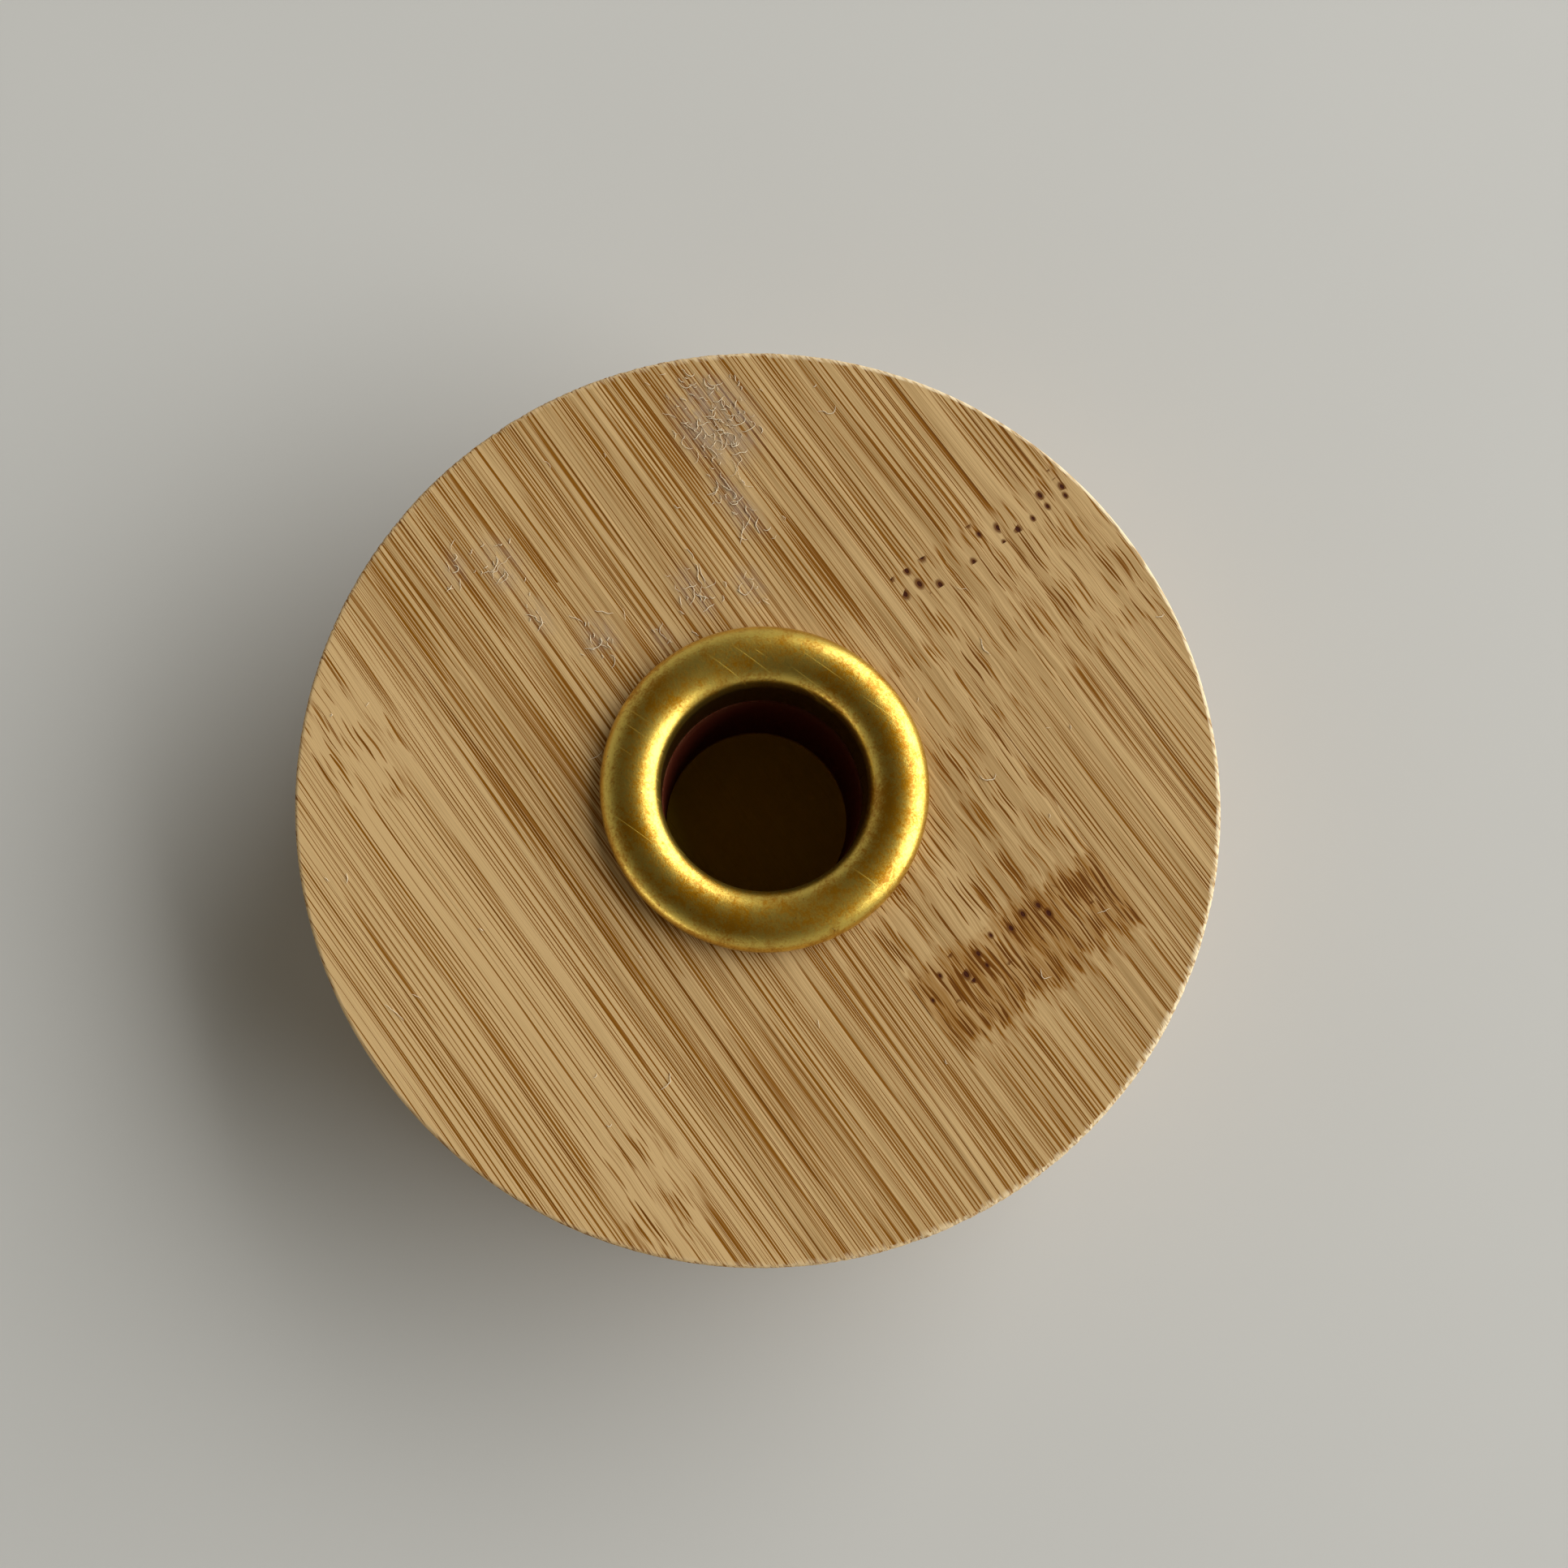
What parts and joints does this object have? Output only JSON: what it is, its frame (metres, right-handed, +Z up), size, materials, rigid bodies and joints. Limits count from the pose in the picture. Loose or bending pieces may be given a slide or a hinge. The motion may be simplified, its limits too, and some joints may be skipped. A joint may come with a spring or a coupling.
{
  "type": "taper candle holder",
  "caption": "Low round candle holder of laminated bamboo, with a rolled brass ferrule lining the mouth of its blind central socket for a taper candle.",
  "frame": {"origin": "centre of the underside, on the surface that the holder stands on", "axes": "+Z up along the socket's axis and out of its mouth; +X along the bamboo's fibres and the strips' glue joints"},
  "size_m": [0.1, 0.1, 0.033],
  "materials": {
    "bamboo": "sanded, unvarnished",
    "brass": "satin, lightly tarnished"
  },
  "bodies": {
    "root": {"base_ply_strip_1": "bamboo", "base_ply_strip_2": "bamboo", "base_ply_strip_3": "bamboo", "base_ply_strip_4": "bamboo", "base_ply_strip_5": "bamboo", "second_ply_strip_1": "bamboo", "second_ply_strip_2": "bamboo", "second_ply_strip_3": "bamboo", "second_ply_strip_4": "bamboo", "third_ply_strip_1": "bamboo", "third_ply_strip_2": "bamboo", "third_ply_strip_3": "bamboo", "third_ply_strip_4": "bamboo", "third_ply_strip_5": "bamboo", "fourth_ply_strip_1": "bamboo", "fourth_ply_strip_2": "bamboo", "fourth_ply_strip_3": "bamboo", "fourth_ply_strip_4": "bamboo", "fourth_ply_strip_5": "bamboo", "fifth_ply_strip_1": "bamboo", "fifth_ply_strip_2": "bamboo", "fifth_ply_strip_3": "bamboo", "fifth_ply_strip_4": "bamboo", "fifth_ply_strip_5": "bamboo", "top_ply_strip_1": "bamboo", "top_ply_strip_2": "bamboo", "top_ply_strip_3": "bamboo", "top_ply_strip_4": "bamboo", "brass_ferrule": "brass"}
  },
  "joints": []
}
